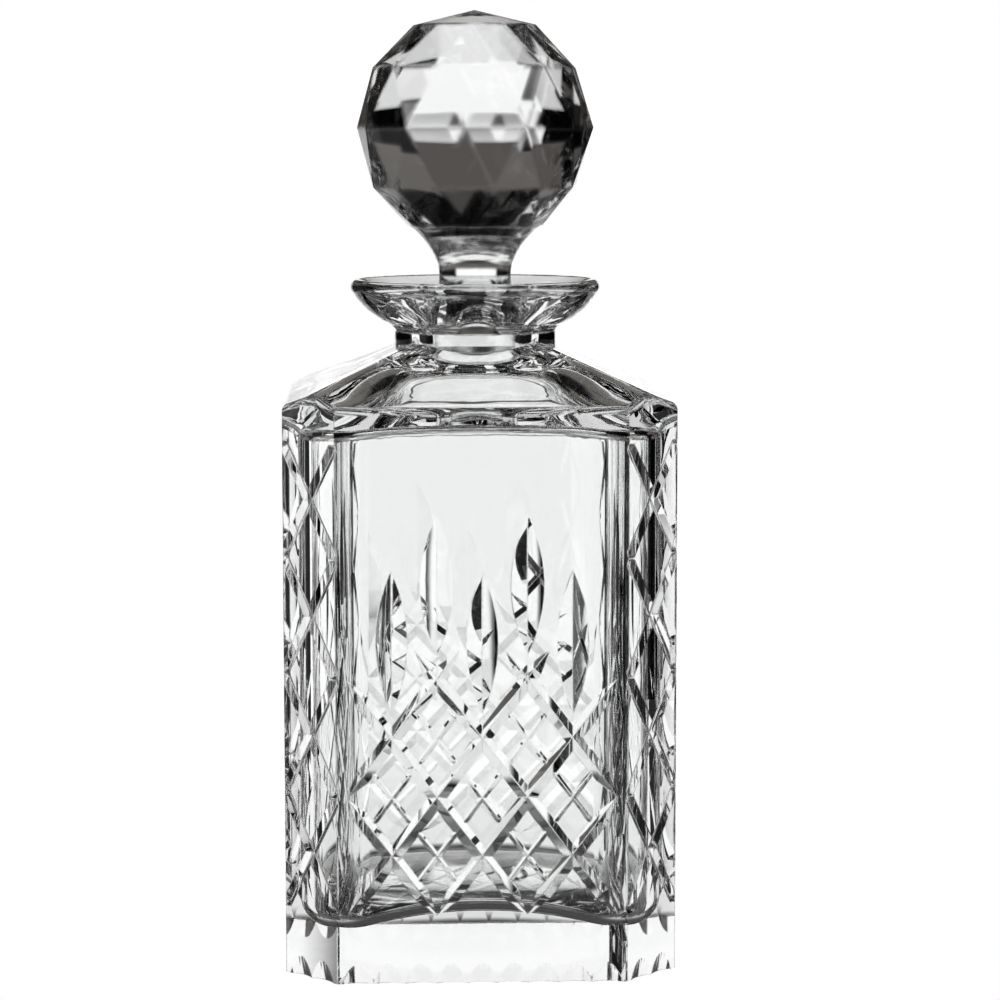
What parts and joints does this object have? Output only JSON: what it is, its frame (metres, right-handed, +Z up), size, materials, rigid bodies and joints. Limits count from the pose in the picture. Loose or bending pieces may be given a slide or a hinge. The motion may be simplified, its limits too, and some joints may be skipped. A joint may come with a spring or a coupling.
{
  "type": "square cut crystal decanter",
  "caption": "Square cut-crystal spirit decanter with fluted lip and lift-out faceted ball stopper.",
  "frame": {"origin": "centre of the base, on the plane the decanter stands on", "axes": "+Z up along the decanter's axis, -Y towards the side seen as the front"},
  "size_m": [0.1, 0.1, 0.2459],
  "materials": {
    "body_crystal": "acid-polished clear lead crystal, cut all over",
    "stopper_crystal": "polished clear lead crystal, faceted ball, ground plug"
  },
  "bodies": {
    "decanter": {"decanter_body": "body_crystal"},
    "stopper": {"stopper": "stopper_crystal"}
  },
  "joints": [
    {"name": "stopper_lift", "type": "slide", "parent": "decanter", "child": "stopper", "axis": [0, 0, 1], "range_m": [0, 0.06]}
  ]
}
